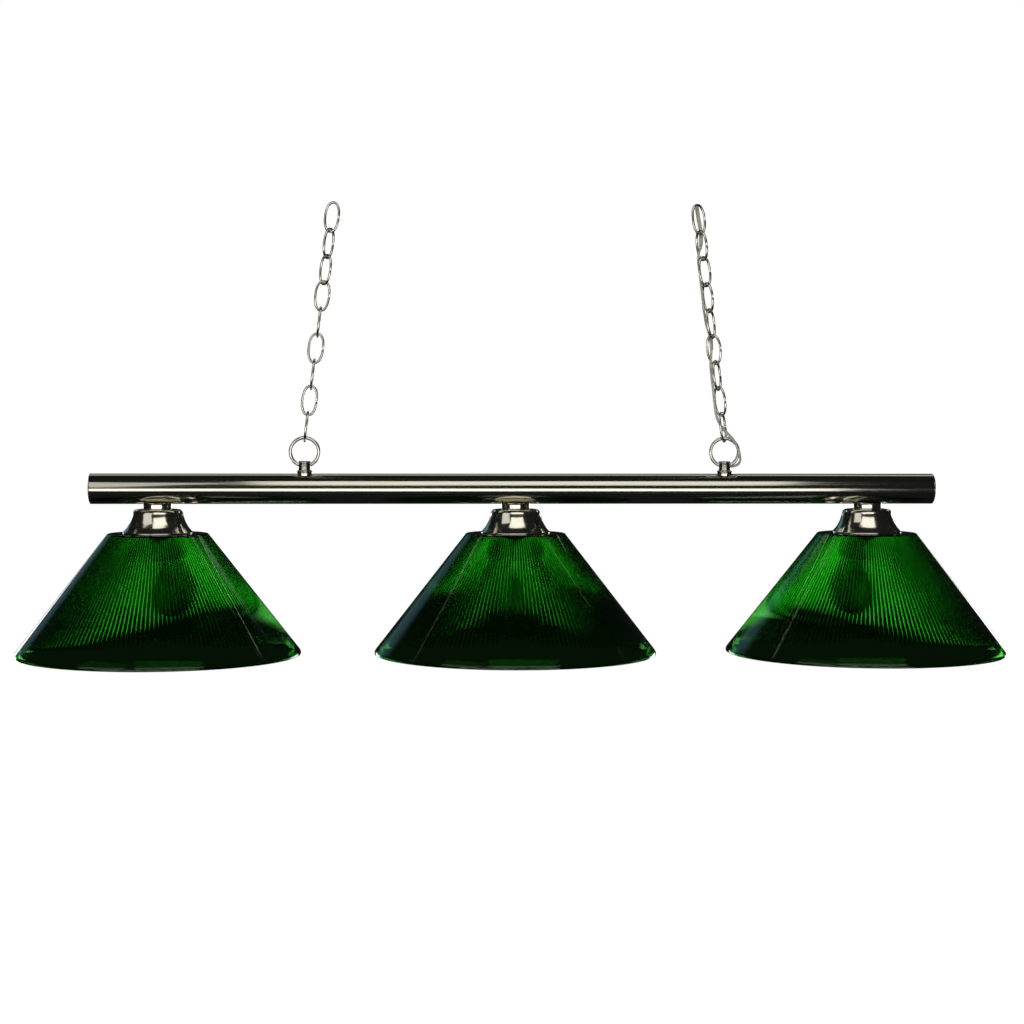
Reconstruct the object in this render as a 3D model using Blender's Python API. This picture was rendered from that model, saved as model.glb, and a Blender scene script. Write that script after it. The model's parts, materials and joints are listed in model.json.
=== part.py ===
"""Pool table lamp: a brushed tube hung on two chains, with three green acrylic shades under it.

Metres, +Z up, X along the tube, the lamp's front towards -Y. The origin lies midway between the
crowns of the two chains' top links, where the ceiling hooks hold them. The sizes below are in
millimetres and heights are from the tube's axis, until place() makes them metres from the origin.
"""

import math

import bmesh
import bpy
from mathutils import Matrix, Vector

MM = 0.001
GAP = 0.3  # between pieces that touch

# Tube and end caps
TUBE_RADIUS = 19.05
TUBE_BORE = 17.85
TUBE_LENGTH = 1060.8
CAP_FLANGE = 3.0
CAP_PLUG = 8.0

# Threaded nipples and their lock nuts, the same at the lights and the hangers
THREAD_RADIUS = 4.85
THREAD_BORE = 3.4
THREAD_HOLE = 5.4
NUT_CORNER = 8.1
NUT_FAR = 15.3  # the nut's height off the tube's axis, by its outer face and its inner face
NUT_NEAR = 11.8

# Hanger loops: a ring on a neck on a bead that saddles the tube
HANGER_X = 265.0
RING_CENTRE = 46.2
RING_RADIUS = 17.7  # to the middle of its wire
RING_WIRE = 2.15
NECK_RADIUS = 7.75
NECK_TOP = 34.7
NECK_BORE_TOP = 30.0
BEAD_RADIUS = 9.8
BEAD_LOW = 14.0
BEAD_TOP = 22.7
WIREWAY_HEIGHT = 27.9
WIREWAY_RADIUS = 2.9
WIREWAY_ASIDE = Vector((0.95, 0.31, 0)).normalized()
LOOP_NIPPLE_TOP = 24.4

# Chain links, and how far each is turned about its chain from the tube's plane, from the ring upwards
LINKS = 9
LINK_HALF_LENGTH = 18.2  # to the middle of its wire
LINK_HALF_WIDTH = 8.9
LINK_WIRE = 1.6
LINK_SQUARENESS = 2.25  # 2 would make an ellipse
LINK_TURNS = {
    "left": (90, 0, 90, 0, 90, 19, -45, 54, -19),
    "right": (62, -53, 55, -31, 54, -58, 35, -56, 27),
}
LEAN = math.radians(7.1)  # towards the other chain, going up
SEAT = 2 * LINK_WIRE + GAP  # between the middles of two wires that bear on each other
PITCH = 2 * LINK_HALF_LENGTH - SEAT
FIRST_LINK_LOW = RING_CENTRE + RING_RADIUS - RING_WIRE - LINK_WIRE - GAP
SIDES = {"left": -1, "right": 1}
LEVEL_JOINT, SWAY_JOINT, SWING_JOINT = 1, 7, 8  # each is a hinge at the top of the link of that number

# Lights
LIGHTS = {"left": -448.0, "middle": 0.0, "right": 448.0}
COLLAR_RADIUS = 18.4
COLLAR_TOP = -17.5
COLLAR_BOTTOM = -25.0
BELL_TOP = COLLAR_BOTTOM - GAP
BELL_BOTTOM = -55.6
BELL_FOOT = 43.5
SOCKET_TOP = -44.0
SOCKET_FLANGE_TOP = -52.5
SOCKET_FLANGE = 25.0
SOCKET_SKIRT = 19.4
SOCKET_BOTTOM = -92.0
SOCKET_CAVITY = 14.2
NIPPLE_BOTTOM = -48.0
SHADE_TOP = BELL_BOTTOM - GAP
SHADE_HOLE = 20.6
SHADE_TOP_RADIUS = 62.0
SHADE_RIM_RADIUS = 177.8
SHADE_BOTTOM = -208.4
SHADE_WALL = 2.8
SHADE_LIP = 3.0
SHADE_RING_RADIUS = 27.0
BULB_BOTTOM = -163.0
BULB_RADIUS = 30.0
BULB_NECK = 12.4
BULB_BASE_RADIUS = 13.1

# Wiring
CORD_RADIUS = 2.4
CORD_GAP = 0.6  # between the middles of two lengths' end faces, which aren't quite parallel
HARNESS_RADIUS = 2.5
HARNESS_HEIGHT = 2.0
WIRE_NUT_X = 300.0

CHAIN_UP = {side: Vector((-sign * math.sin(LEAN), 0, math.cos(LEAN))) for side, sign in SIDES.items()}
CHAIN_LENGTH = (LINKS - 1) * PITCH + 2 * LINK_HALF_LENGTH
ORIGIN_HEIGHT = FIRST_LINK_LOW + CHAIN_LENGTH * math.cos(LEAN) + LINK_WIRE


def place(x, y, z):
    """A point from the middle of the tube, in millimetres, as metres from the origin."""
    return Vector((x, y, z - ORIGIN_HEIGHT)) * MM


# ---------------------------------------------------------------- modelling helpers


def clear_scene():
    for obj in list(bpy.data.objects):
        bpy.data.objects.remove(obj)


def material(name, color, roughness, metallic=0.0, transmission=0.0):
    made = bpy.data.materials.new(name)
    made.use_nodes = True
    shader = made.node_tree.nodes["Principled BSDF"]
    shader.inputs["Base Color"].default_value = (*color, 1)
    shader.inputs["Roughness"].default_value = roughness
    shader.inputs["Metallic"].default_value = metallic
    shader.inputs["Transmission Weight"].default_value = transmission
    return made


def add_object(name, data, finish, at=(0, 0, 0)):
    """An object at a point in metres. Data that several objects share keeps its one material."""
    if not data.materials:
        data.materials.append(finish)
    obj = bpy.data.objects.new(name, data)
    obj.location = at
    bpy.context.scene.collection.objects.link(obj)
    return obj


def pivot(name, at, parent):
    """An empty on a joint's axis. No pivot is turned, so what rides on it keeps its world axes."""
    empty = bpy.data.objects.new(name, None)
    empty.location = at
    bpy.context.scene.collection.objects.link(empty)
    if parent:
        attach(empty, parent)
    bpy.context.view_layer.update()
    return empty


def attach(obj, parent):
    """Parents an object to a pivot and leaves its location in world coordinates."""
    obj.parent = parent
    obj.matrix_parent_inverse = parent.matrix_world.inverted()


def mesh_from(bm, name):
    if bm.calc_volume(signed=True) < 0:
        bmesh.ops.reverse_faces(bm, faces=bm.faces)
    mesh = bpy.data.meshes.new(name)
    bm.to_mesh(mesh)
    bm.free()
    mesh.shade_smooth()
    mesh.set_sharp_from_angle(angle=math.radians(35))
    return mesh


def revolved(name, profile, segments):
    """A closed outline of (radius, height) points in millimetres, spun about Z."""
    bm = bmesh.new()
    verts = [bm.verts.new((r * MM, 0, z * MM)) for r, z in profile]
    edges = [bm.edges.new(pair) for pair in zip(verts, verts[1:] + verts[:1])]
    bmesh.ops.spin(
        bm, geom=verts + edges, cent=(0, 0, 0), axis=(0, 0, 1), angle=math.tau, steps=segments, use_merge=True
    )
    bmesh.ops.remove_doubles(bm, verts=bm.verts, dist=0.001 * MM)
    bmesh.ops.dissolve_degenerate(bm, edges=bm.edges, dist=0.001 * MM)
    return mesh_from(bm, name)


def arc(centre, radius, start, end, steps):
    """Outline points on an arc, from one angle to another, in degrees."""
    angles = [math.radians(start + (end - start) * i / steps) for i in range(steps + 1)]
    return [(centre[0] + radius * math.cos(a), centre[1] + radius * math.sin(a)) for a in angles]


def rod(name, radius, start, end, segments):
    """A solid rod of a radius in millimetres between two points in metres."""
    bm = bmesh.new()
    length = (end - start).length
    size = radius * MM
    bmesh.ops.create_cone(bm, cap_ends=True, segments=segments, radius1=size, radius2=size, depth=length)
    turn = (end - start).to_track_quat("Z", "Y").to_matrix().to_4x4()
    bm.transform(Matrix.Translation((start + end) / 2) @ turn)
    return mesh_from(bm, name)


def combine(obj, operation, mesh):
    """Joins a helper solid, whose points are in world space, to an object, or cuts it away."""
    helper = bpy.data.objects.new("helper_for_" + obj.name, mesh)
    bpy.context.scene.collection.objects.link(helper)
    helper.hide_render = True
    helper.display_type = "WIRE"
    boolean = obj.modifiers.new(operation.title(), "BOOLEAN")
    boolean.operation = operation
    boolean.object = helper


def wire(name, points, radius, finish, cyclic=False):
    """A round wire or cord as a bevelled curve through points in metres."""
    curve = bpy.data.curves.new(name, "CURVE")
    curve.dimensions = "3D"
    curve.bevel_depth = radius * MM
    curve.bevel_resolution = 2
    curve.use_fill_caps = not cyclic
    spline = curve.splines.new("POLY")
    spline.points.add(len(points) - 1)
    for point, position in zip(spline.points, points):
        point.co = (*position, 1)
    spline.use_cyclic_u = cyclic
    return add_object(name, curve, finish)


def smooth_route(points, step):
    """Points about a step apart on a smooth curve through the route's own points."""
    ends = [2 * points[0] - points[1], *points, 2 * points[-1] - points[-2]]
    route = [points[0]]
    for a, b, c, d in zip(ends, ends[1:], ends[2:], ends[3:]):
        pieces = max(1, round((c - b).length / step))
        for i in range(1, pieces + 1):
            t = i / pieces
            bend = (2 * a - 5 * b + 4 * c - d) * t**2 + (3 * b - a - 3 * c + d) * t**3
            route.append(b + 0.5 * ((c - a) * t + bend))
    return route


# ---------------------------------------------------------------- chains


def chain_point(side, along, right=0.0, back=0.0):
    """A point by its height along a chain from the lowest wire's middle, and its place beside the chain."""
    up = CHAIN_UP[side]
    across = Vector((up.z, 0, -up.x))
    foot = Vector((SIDES[side] * HANGER_X, 0, FIRST_LINK_LOW))
    return place(*(foot + along * up + right * across + back * Vector((0, 1, 0))))


def joint_point(side, link):
    """The middle of the bearing between a link and the next one up."""
    return chain_point(side, link * PITCH + SEAT / 2)


def link_curve(finish):
    """One link in the XZ plane, with its points closer together round its ends."""
    quarter = [math.radians(90) * (i / 4) ** 1.45 for i in range(5)]
    angles = quarter + [math.pi - a for a in quarter[3::-1]]
    angles += [math.pi + a for a in quarter[1:]] + [math.tau - a for a in quarter[3:0:-1]]
    power = 2 / LINK_SQUARENESS
    curve = bpy.data.curves.new("chain_link", "CURVE")
    curve.dimensions = "3D"
    curve.bevel_depth = LINK_WIRE * MM
    curve.bevel_resolution = 1
    spline = curve.splines.new("POLY")
    spline.points.add(len(angles) - 1)
    for angle, point in zip(angles, spline.points):
        x = math.copysign(abs(math.sin(angle)) ** power, math.sin(angle)) * LINK_HALF_WIDTH
        z = math.copysign(abs(math.cos(angle)) ** power, math.cos(angle)) * LINK_HALF_LENGTH
        point.co = (x * MM, 0, z * MM, 1)
    spline.use_cyclic_u = True
    curve.materials.append(finish)
    return curve


def build_links(side, numbers, curve, parent):
    """Some of a chain's links, by number from the ring upwards. Without a parent they hang fixed."""
    lean = Matrix.Rotation(-SIDES[side] * LEAN, 3, "Y")
    for number in numbers:
        turn = Matrix.Rotation(math.radians(LINK_TURNS[side][number - 1]), 3, "Z")
        centre = chain_point(side, (number - 1) * PITCH + LINK_HALF_LENGTH)
        link = add_object(f"{side}_link_{number}", curve, None, centre)
        link.rotation_euler = (lean @ turn).to_euler()
        if parent:
            attach(link, parent)


# ---------------------------------------------------------------- tube, end caps and hanger loops


def build_tube(finish, parent):
    half = TUBE_LENGTH / 2
    wall = [(TUBE_BORE, -half), (TUBE_RADIUS, -half), (TUBE_RADIUS, half), (TUBE_BORE, half)]
    mesh = revolved("tube", wall, 32)
    mesh.transform(Matrix.Rotation(math.pi / 2, 4, "Y"))
    tube = add_object("bar_tube", mesh, finish, place(0, 0, 0))
    for x in LIGHTS.values():
        combine(tube, "DIFFERENCE", rod("hole", THREAD_HOLE, place(x, 0, 0), place(x, 0, -25), 16))
    for sign in SIDES.values():
        x = sign * HANGER_X
        combine(tube, "DIFFERENCE", rod("hole", THREAD_HOLE, place(x, 0, 0), place(x, 0, 25), 16))
    attach(tube, parent)


def build_end_cap(side, finish, parent):
    """A slightly domed flange over the tube's end, with a hollow plug inside the tube."""
    edge = 2.2
    plug = TUBE_BORE - GAP - 0.15
    profile = [
        (0, CAP_FLANGE),
        (TUBE_RADIUS - edge, CAP_FLANGE - 0.5),
        *arc((TUBE_RADIUS - edge, CAP_FLANGE - 0.5 - edge), edge, 60, 0, 2),
        (TUBE_RADIUS, GAP),
        (plug, GAP),
        (plug, -CAP_PLUG),
        (plug - 1.2, -CAP_PLUG),
        (plug - 1.2, GAP),
        (0, GAP),
    ]
    sign = SIDES[side]
    mesh = revolved("end_cap", profile, 24)
    mesh.transform(Matrix.Rotation(sign * math.pi / 2, 4, "Y"))
    attach(add_object(f"{side}_end_cap", mesh, finish, place(sign * TUBE_LENGTH / 2, 0, 0)), parent)


def build_hanger_loop(side, finish, parent):
    """One casting: the ring, its neck and bead, bored for the nipple, with a hole for the cord."""
    x = SIDES[side] * HANGER_X
    body = [
        (0, BEAD_LOW),
        (BEAD_RADIUS, BEAD_LOW),
        (BEAD_RADIUS, BEAD_TOP - 1.2),
        (BEAD_RADIUS - 1.2, BEAD_TOP),
        (NECK_RADIUS, BEAD_TOP),
        (NECK_RADIUS, NECK_TOP - 1.0),
        (NECK_RADIUS - 1.0, NECK_TOP),
        (0, NECK_TOP),
    ]
    loop = add_object(f"{side}_hanger_loop", revolved("loop", body, 20), finish, place(x, 0, 0))
    ring = revolved("ring", arc((RING_RADIUS, 0), RING_WIRE, 0, 315, 7), 24)
    ring.transform(Matrix.Translation(place(x, 0, RING_CENTRE)) @ Matrix.Rotation(math.pi / 2, 4, "X"))
    combine(loop, "UNION", ring)
    reach = 2 * BEAD_RADIUS
    seat = rod("seat", TUBE_RADIUS + GAP, place(x - reach, 0, 0), place(x + reach, 0, 0), 64)
    combine(loop, "DIFFERENCE", seat)
    combine(loop, "DIFFERENCE", rod("bore", THREAD_HOLE, place(x, 0, 0), place(x, 0, NECK_BORE_TOP), 16))
    start = place(x, 0, WIREWAY_HEIGHT)
    wireway = rod("wireway", WIREWAY_RADIUS, start, start + WIREWAY_ASIDE * reach * MM, 12)
    combine(loop, "DIFFERENCE", wireway)
    attach(loop, parent)


def build_nipple(name, x, low, high, finish, parent):
    tube = [(THREAD_BORE, low), (THREAD_RADIUS, low), (THREAD_RADIUS, high), (THREAD_BORE, high)]
    attach(add_object(name, revolved("nipple", tube, 16), finish, place(x, 0, 0)), parent)


def build_nut(name, x, low, high, finish, parent):
    """A hexagonal lock nut on an upright nipple."""
    nut = add_object(name, rod("nut", NUT_CORNER, Vector((0, 0, low)) * MM, Vector((0, 0, high)) * MM, 6), finish)
    nut.location = place(x, 0, 0)
    combine(nut, "DIFFERENCE", rod("bore", THREAD_HOLE, place(x, 0, low - 2), place(x, 0, high + 2), 16))
    attach(nut, parent)


# ---------------------------------------------------------------- lights


def build_collar(light, x, finish, parent):
    """The spacer that saddles the tube and gives the bell a level seat."""
    profile = [
        (THREAD_HOLE, COLLAR_BOTTOM),
        (COLLAR_RADIUS - 0.8, COLLAR_BOTTOM),
        (COLLAR_RADIUS, COLLAR_BOTTOM + 0.8),
        (COLLAR_RADIUS, COLLAR_TOP),
        (THREAD_HOLE, COLLAR_TOP),
    ]
    collar = add_object(f"{light}_collar", revolved("collar", profile, 20), finish, place(x, 0, 0))
    reach = 1.5 * COLLAR_RADIUS
    seat = rod("seat", TUBE_RADIUS + GAP, place(x - reach, 0, 0), place(x + reach, 0, 0), 64)
    combine(collar, "DIFFERENCE", seat)
    attach(collar, parent)


def bell_profile():
    """The bell from its flat top down its flare, and back up inside."""
    wall = 1.0
    corner = 4.5
    shoulder = (27.0, BELL_TOP - corner)
    flare = [(32.4, -34.5), (34.6, -41.5), (38.6, -49.0)]
    outside = [*arc(shoulder, corner, 90, 10, 3), *flare, (BELL_FOOT, BELL_BOTTOM)]
    inside = [(r - wall, z) for r, z in reversed(flare)]
    inside += [(shoulder[0] + corner - 1.6, shoulder[1]), (shoulder[0], BELL_TOP - 1.3)]
    return [
        (THREAD_HOLE, BELL_TOP),
        *outside,
        (BELL_FOOT - 1.6, BELL_BOTTOM),
        *inside,
        (THREAD_HOLE, BELL_TOP - 1.3),
    ]


def socket_profile():
    """The lamp socket: a cap on the nipple, a flange on the shade, and a skirt down through it."""
    floor = -52.4
    return [
        (THREAD_HOLE, SOCKET_TOP),
        (14.0, SOCKET_TOP),
        (17.0, SOCKET_FLANGE_TOP + 3),
        (17.0, SOCKET_FLANGE_TOP),
        (SOCKET_FLANGE, SOCKET_FLANGE_TOP),
        (SOCKET_FLANGE, BELL_BOTTOM),
        (SOCKET_SKIRT, BELL_BOTTOM),
        (SOCKET_SKIRT, SOCKET_BOTTOM),
        (SOCKET_CAVITY, SOCKET_BOTTOM),
        (SOCKET_CAVITY, floor),
        (THREAD_HOLE, floor),
    ]


def shade_profile():
    """The flat top with its hole, the straight cone and the short upright lip."""
    cone = math.atan2(SHADE_RIM_RADIUS - SHADE_TOP_RADIUS, SHADE_TOP - SHADE_BOTTOM)
    across = SHADE_WALL / math.cos(cone)
    return [
        (SHADE_HOLE, SHADE_TOP),
        (SHADE_TOP_RADIUS, SHADE_TOP),
        (SHADE_TOP_RADIUS + 1.5, SHADE_TOP - 1.0),
        (SHADE_RIM_RADIUS - 1.0, SHADE_BOTTOM + SHADE_LIP + 0.9),
        (SHADE_RIM_RADIUS, SHADE_BOTTOM + SHADE_LIP - 0.6),
        (SHADE_RIM_RADIUS, SHADE_BOTTOM),
        (SHADE_RIM_RADIUS - SHADE_WALL, SHADE_BOTTOM),
        (SHADE_RIM_RADIUS - across, SHADE_BOTTOM + SHADE_LIP),
        (SHADE_TOP_RADIUS - 1.0, SHADE_TOP - SHADE_WALL),
        (SHADE_HOLE, SHADE_TOP - SHADE_WALL),
    ]


def shade_ring_profile():
    """The threaded ring on the socket's skirt that clamps the shade up against the socket's flange."""
    inner = SOCKET_SKIRT + 0.4
    top = SHADE_TOP - SHADE_WALL - GAP
    return [
        (inner, top),
        (SHADE_RING_RADIUS, top),
        (SHADE_RING_RADIUS, top - 3.0),
        (inner + 2.0, top - 6.7),
        (inner, top - 6.7),
    ]


def bulb_glass_profile():
    """The pear-shaped envelope, 1 mm thick and open where the screw base holds its neck."""
    wall = 1.0
    ball = (0, BULB_BOTTOM + BULB_RADIUS)
    neck = [(19.5, -106.0), (13.4, -93.0), (BULB_NECK, -81.0), (BULB_NECK, -70.0)]
    outside = [*arc(ball, BULB_RADIUS, -90, 30, 5), *neck]
    inside = [(r - wall, z) for r, z in reversed(neck)]
    inside += arc(ball, BULB_RADIUS - wall, 30, -90, 5)
    return outside + inside


def bulb_base_profile():
    """The screw base: a cup round the glass's neck, closed at the top by its contact."""
    cup = BULB_NECK + GAP
    return [
        (0, -53.5),
        (4.5, -53.5),
        (9.5, -57.0),
        (BULB_BASE_RADIUS, -58.6),
        (BULB_BASE_RADIUS, -80.0),
        (cup, -80.0),
        (cup, -60.0),
        (0, -59.0),
    ]


def build_light(light, meshes, finishes, lamp):
    """One light: its fixings, bell, socket, shade and ring on the lamp, and its bulb on a pivot."""
    x = LIGHTS[light]
    build_nut(f"{light}_lock_nut", x, -NUT_FAR, -NUT_NEAR, finishes["zinc"], lamp)
    build_nipple(f"{light}_nipple", x, NIPPLE_BOTTOM, -NUT_NEAR + 1, finishes["zinc"], lamp)
    build_collar(light, x, finishes["nickel"], lamp)
    for piece, finish in (
        ("bell", "nickel"),
        ("socket", "phenolic"),
        ("shade", "acrylic"),
        ("shade_ring", "phenolic"),
    ):
        attach(add_object(f"{light}_{piece}", meshes[piece], finishes[finish], place(x, 0, 0)), lamp)
    travel = pivot(f"{light}_bulb_travel", place(x, 0, SOCKET_BOTTOM), lamp)
    for piece, finish in (("bulb_glass", "glass"), ("bulb_base", "shell")):
        attach(add_object(f"{light}_{piece}", meshes[piece], finishes[finish], place(x, 0, 0)), travel)


# ---------------------------------------------------------------- wiring

# The supply cord's route. Beside the ring, each point is right of the hanger, behind it, and a height
# above the tube's axis. Along the chain, each is a height along it, then right of it and behind it.
CORD_BY_RING = (
    (5.9, 1.9, WIREWAY_HEIGHT),
    (10.2, 3.2, 28.1),
    (15.2, 2.8, 29.4),
    (18.9, 0.0, 32.8),
    (19.6, -3.8, 38.8),
    (17.6, -5.4, 46.8),
    (14.0, -5.4, 55.6),
    (8.4, -5.0, 64.0),
)
CORD_ON_CHAIN_LOW = (
    (17.0, -0.6, 0.0),
    (26.0, -5.0, -0.8),
    (34.65, -6.8, 0.0),
)
CORD_ON_CHAIN = (
    (51.0, -7.2, 0.0),
    (67.5, -6.9, 0.0),
    (84.0, -7.0, -0.4),
    (100.4, -6.6, -1.6),
    (116.9, -2.8, 1.6),
    (133.3, -1.6, 6.7),
    (149.8, -4.6, 5.2),
    (166.2, -6.9, 0.4),
    (182.7, -6.8, -0.4),
    (199.1, -6.6, 1.2),
    (215.6, -6.2, 2.0),
    (232.0, -6.4, 1.3),
)
CORD_THROUGH_LINK_8 = (248.5, -1.2, 1.8)
CORD_ON_CHAIN_TOP = (
    (265.0, 1.6, 6.6),
    (281.4, 0.9, 7.0),
    (299.0, 0.2, 7.2),
)


def build_cord(finish, lamp, right_chain):
    """The supply cord in three lengths, parted between the hinges that bend it."""
    step = 2.2 * 2 * CORD_RADIUS * MM
    ring = [place(HANGER_X + right, back, height) for right, back, height in CORD_BY_RING]
    low = [chain_point("right", *point) for point in CORD_ON_CHAIN_LOW]
    middle = [chain_point("right", *point) for point in CORD_ON_CHAIN]
    cut = chain_point("right", *CORD_THROUGH_LINK_8)
    top = [chain_point("right", *point) for point in CORD_ON_CHAIN_TOP]
    route = smooth_route([*ring, *low, *middle, cut, *top], step)
    first = min(range(len(route)), key=lambda i: (route[i] - low[-1]).length)
    second = min(range(len(route)), key=lambda i: (route[i] - cut).length)
    lengths = {
        "supply_cord_lower": (route[: first + 1], lamp),
        "supply_cord_upper": (route[first : second + 1], right_chain),
        "supply_cord_top": (route[second:], None),
    }
    for name, (points, parent) in lengths.items():
        if name != "supply_cord_lower":
            points[0] = points[0] + (points[1] - points[0]).normalized() * CORD_GAP * MM
        cord = wire(name, points, CORD_RADIUS, finish)
        if parent:
            attach(cord, parent)


def build_wiring(finishes, lamp):
    """The harness that runs along the tube, and the two nuts that join it to the supply cord."""
    reach = LIGHTS["right"] + 8
    steps = 6
    points = [place(-reach + 2 * reach * i / steps, 0, HARNESS_HEIGHT) for i in range(steps + 1)]
    attach(wire("wire_harness", points, HARNESS_RADIUS, finishes["lead"]), lamp)
    cone = [(0, 0), (4.2, 0), (4.0, 6), (2.6, 15), (1.4, 17), (0, 17)]
    for name, back in (("front_wire_nut", -8.0), ("rear_wire_nut", 8.0)):
        mesh = revolved("wire_nut", cone, 12)
        mesh.transform(Matrix.Rotation(math.pi / 2, 4, "Y"))
        attach(add_object(name, mesh, finishes["lead"], place(WIRE_NUT_X, back, -8.0)), lamp)


# ---------------------------------------------------------------- the lamp


def main():
    clear_scene()
    finishes = {
        "nickel": material("brushed_nickel", (0.62, 0.6, 0.54), 0.28, 1.0),
        "zinc": material("zinc_steel", (0.6, 0.62, 0.64), 0.4, 1.0),
        "acrylic": material("green_acrylic", (0.0, 0.22, 0.03), 0.08, transmission=0.6),
        "phenolic": material("black_phenolic", (0.02, 0.02, 0.02), 0.4),
        "glass": material("frosted_glass", (0.95, 0.94, 0.9), 0.35, transmission=0.6),
        "shell": material("screw_shell", (0.8, 0.78, 0.72), 0.3, 1.0),
        "cord": material("clear_cord", (0.72, 0.7, 0.62), 0.3),
        "lead": material("lead_insulation", (0.1, 0.1, 0.1), 0.5),
    }
    swing = joint_point("right", SWING_JOINT)
    upper = pivot("chain_swing_pivot", (0, 0, swing.z), None)
    chains = {side: pivot(f"{side}_sway_pivot", joint_point(side, SWAY_JOINT), upper) for side in SIDES}
    levels = {
        side: pivot(f"{side}_level_pivot", joint_point(side, LEVEL_JOINT), chains[side]) for side in SIDES
    }
    lamp = pivot("lamp_tilt_pivot", place(HANGER_X, 0, RING_CENTRE + RING_RADIUS), levels["right"])
    curve = link_curve(finishes["nickel"])
    for side in SIDES:
        build_links(side, (LINKS,), curve, None)
        build_links(side, (SWING_JOINT,), curve, upper)
        build_links(side, range(LEVEL_JOINT + 1, SWAY_JOINT + 1), curve, chains[side])
        build_links(side, (LEVEL_JOINT,), curve, levels[side])
        x = SIDES[side] * HANGER_X
        build_hanger_loop(side, finishes["nickel"], lamp)
        build_nipple(f"{side}_loop_nipple", x, NUT_NEAR - 1, LOOP_NIPPLE_TOP, finishes["zinc"], lamp)
        build_nut(f"{side}_loop_nut", x, NUT_NEAR, NUT_FAR, finishes["zinc"], lamp)
        build_end_cap(side, finishes["nickel"], lamp)
    build_tube(finishes["nickel"], lamp)
    meshes = {
        "bell": revolved("bell", bell_profile(), 20),
        "socket": revolved("socket", socket_profile(), 16),
        "shade": revolved("shade", shade_profile(), 32),
        "shade_ring": revolved("shade_ring", shade_ring_profile(), 20),
        "bulb_glass": revolved("bulb_glass", bulb_glass_profile(), 12),
        "bulb_base": revolved("bulb_base", bulb_base_profile(), 16),
    }
    for light in LIGHTS:
        build_light(light, meshes, finishes, lamp)
    build_cord(finishes["cord"], lamp, chains["right"])
    build_wiring(finishes, lamp)


main()
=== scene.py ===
import json
import math

import bmesh
import bpy
from mathutils import Matrix, Vector


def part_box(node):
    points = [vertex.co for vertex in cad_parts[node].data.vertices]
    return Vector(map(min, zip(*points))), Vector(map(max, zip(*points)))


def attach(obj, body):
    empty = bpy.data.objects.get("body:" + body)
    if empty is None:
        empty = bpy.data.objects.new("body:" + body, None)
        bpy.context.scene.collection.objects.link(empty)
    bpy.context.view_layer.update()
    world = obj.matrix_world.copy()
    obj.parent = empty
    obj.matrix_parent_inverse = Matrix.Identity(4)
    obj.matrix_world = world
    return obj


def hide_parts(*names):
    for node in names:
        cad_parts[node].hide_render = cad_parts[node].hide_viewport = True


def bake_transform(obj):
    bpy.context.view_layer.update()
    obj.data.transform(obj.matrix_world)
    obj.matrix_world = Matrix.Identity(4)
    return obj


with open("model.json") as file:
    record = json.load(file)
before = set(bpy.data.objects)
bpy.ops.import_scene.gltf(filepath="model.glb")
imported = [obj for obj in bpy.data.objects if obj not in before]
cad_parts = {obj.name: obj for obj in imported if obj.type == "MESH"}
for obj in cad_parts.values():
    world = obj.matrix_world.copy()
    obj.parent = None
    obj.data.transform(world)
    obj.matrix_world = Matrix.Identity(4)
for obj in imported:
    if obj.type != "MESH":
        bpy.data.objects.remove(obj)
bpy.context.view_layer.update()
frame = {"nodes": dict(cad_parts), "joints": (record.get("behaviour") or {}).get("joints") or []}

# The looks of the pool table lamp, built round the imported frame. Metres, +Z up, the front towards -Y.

MM = 0.001


def centre_of(node):
    low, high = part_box(node)
    return (low + high) / 2


LIGHTS = {name: centre_of(f"{name}_shade").x for name in ("left", "middle", "right")}
HANGERS = {name: centre_of(f"{name}_loop_nipple").x for name in ("left", "right")}
SIDES = {"left": -1, "right": 1}
AXIS = centre_of("bar_tube").z
TUBE_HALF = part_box("bar_tube")[1].x
TUBE_RADIUS = (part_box("bar_tube")[1].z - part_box("bar_tube")[0].z) / 2
CAP_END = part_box("right_end_cap")[1].x
SHADE_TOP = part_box("middle_shade")[1].z
SHADE_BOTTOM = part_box("middle_shade")[0].z
SHADE_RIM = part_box("middle_shade")[1].x


# ---------------------------------------------------------------- camera, lights and floor

CAMERA_LENS = 75.55  # millimetres, on a sensor 36 wide
CAMERA_AT = (-0.1539, -2.7037, AXIS + 0.1062)
CAMERA_YAW = math.radians(-3.163)
CAMERA_PITCH = math.radians(-2.867)
CAMERA_ROLL = math.radians(-0.12)


def build_camera():
    """A long lens a little above the tube, to the left of the lamp's middle and turned towards it."""
    camera = bpy.data.objects.new("camera", bpy.data.cameras.new("camera"))
    bpy.context.scene.collection.objects.link(camera)
    camera.data.sensor_width = 36.0
    camera.data.lens = CAMERA_LENS
    turn = Matrix.Rotation(CAMERA_YAW, 4, "Z") @ Matrix.Rotation(math.pi / 2 + CAMERA_PITCH, 4, "X")
    turn = turn @ Matrix.Rotation(-CAMERA_ROLL, 4, "Z")
    camera.matrix_world = Matrix.Translation(CAMERA_AT) @ turn
    bpy.context.scene.camera = camera


SOFT_BOXES = (
    # name, place and aim from the middle of the tube's axis, width and height, brightness, colour
    ("upper_front", (0.2, -1.87, 1.8), (0.2, 0, 0), (2.4, 1.5), 1.2, (1.0, 0.985, 0.92)),
    ("left_fill", (-1.9, -1.6, 1.2), (0, 0, 0), (1.6, 1.6), 0.75, (1.0, 0.985, 0.92)),
    ("lower_front", (-0.8, -3.2, -0.4), (-0.8, 0, -0.4), (5.6, 1.03), 1.9, (1.0, 0.99, 0.97)),
)


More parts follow.
